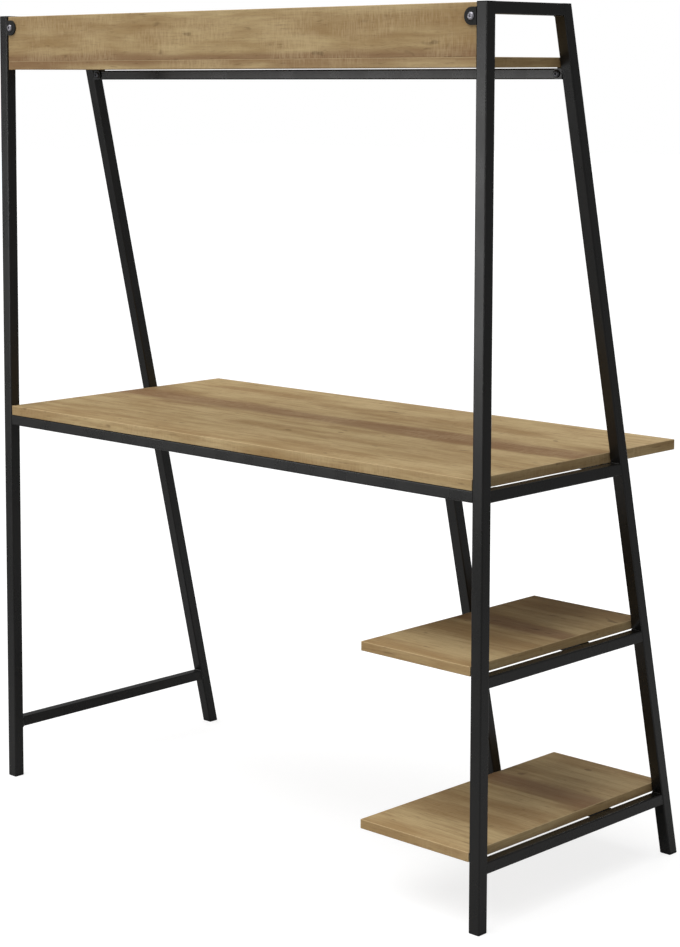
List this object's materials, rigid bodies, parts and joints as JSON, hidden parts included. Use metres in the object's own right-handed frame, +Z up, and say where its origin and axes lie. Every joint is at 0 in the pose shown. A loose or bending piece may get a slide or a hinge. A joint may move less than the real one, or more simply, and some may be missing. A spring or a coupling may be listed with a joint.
{
  "type": "ladder desk",
  "caption": "Ladder desk: two leaning black steel side frames, an oak-effect desktop, a narrow top shelf with a back board, and small shelves under one end.",
  "frame": {"origin": "centre of the bounding box on the floor, between the two side frames", "axes": "+Z up; +Y to the back, where the upright posts stand; -Y to the user, where the legs lean out; +X to the open side frame, away from the small shelves"},
  "size_m": [1.2, 0.5674, 1.5],
  "materials": {
    "black_steel": "fine satin powder coat, near-black",
    "oak_board": "oak-effect melamine on particle board, matt",
    "black_plastic": "moulded black plastic, fine matt",
    "bright_screws": "nickel-plated button heads",
    "black_bolts": "black zinc-plated button heads, slight gloss",
    "zinc_hardware": "bright zinc plate",
    "insert_brass": "turned, dull",
    "pad_rubber": "thin matt pad"
  },
  "bodies": {
    "root": {"back_board": "oak_board", "back_board_screws": "zinc_hardware", "board_inserts": "insert_brass", "board_screws": "bright_screws", "bracket_bolts": "black_bolts", "bracket_nuts": "zinc_hardware", "desktop": "oak_board", "desktop_screws": "zinc_hardware", "front_desk_rail": "black_steel", "inner_leg": "black_steel", "inner_leg_foot": "black_plastic", "inner_leg_plate": "black_steel", "inner_leg_screws": "zinc_hardware", "low_crossbar": "black_steel", "low_shelf": "oak_board", "low_shelf_screws": "zinc_hardware", "mid_crossbar": "black_steel", "mid_shelf": "oak_board", "mid_shelf_screws": "zinc_hardware", "open_side_board_tab": "black_steel", "open_side_desk_rail": "black_steel", "open_side_front_bracket": "black_steel", "open_side_leg": "black_steel", "open_side_leg_foot": "black_plastic", "open_side_leg_plug": "black_plastic", "open_side_low_rail": "black_steel", "open_side_post": "black_steel", "open_side_post_foot": "black_plastic", "open_side_post_plug": "black_plastic", "open_side_rail_tab": "black_steel", "open_side_rear_bracket": "black_steel", "open_side_top_rail": "black_steel", "rail_bolts": "black_bolts", "rail_nuts": "zinc_hardware", "rear_desk_rail": "black_steel", "shelf_side_board_tab": "black_steel", "shelf_side_desk_rail": "black_steel", "shelf_side_front_bracket": "black_steel", "shelf_side_leg": "black_steel", "shelf_side_leg_foot": "black_plastic", "shelf_side_leg_plug": "black_plastic", "shelf_side_low_rail": "black_steel", "shelf_side_mid_rail": "black_steel", "shelf_side_post": "black_steel", "shelf_side_post_foot": "black_plastic", "shelf_side_post_plug": "black_plastic", "shelf_side_rail_tab": "black_steel", "shelf_side_rear_bracket": "black_steel", "shelf_side_top_rail": "black_steel", "top_shelf": "oak_board", "top_shelf_pads": "pad_rubber", "top_shelf_rail": "black_steel"}
  },
  "joints": []
}
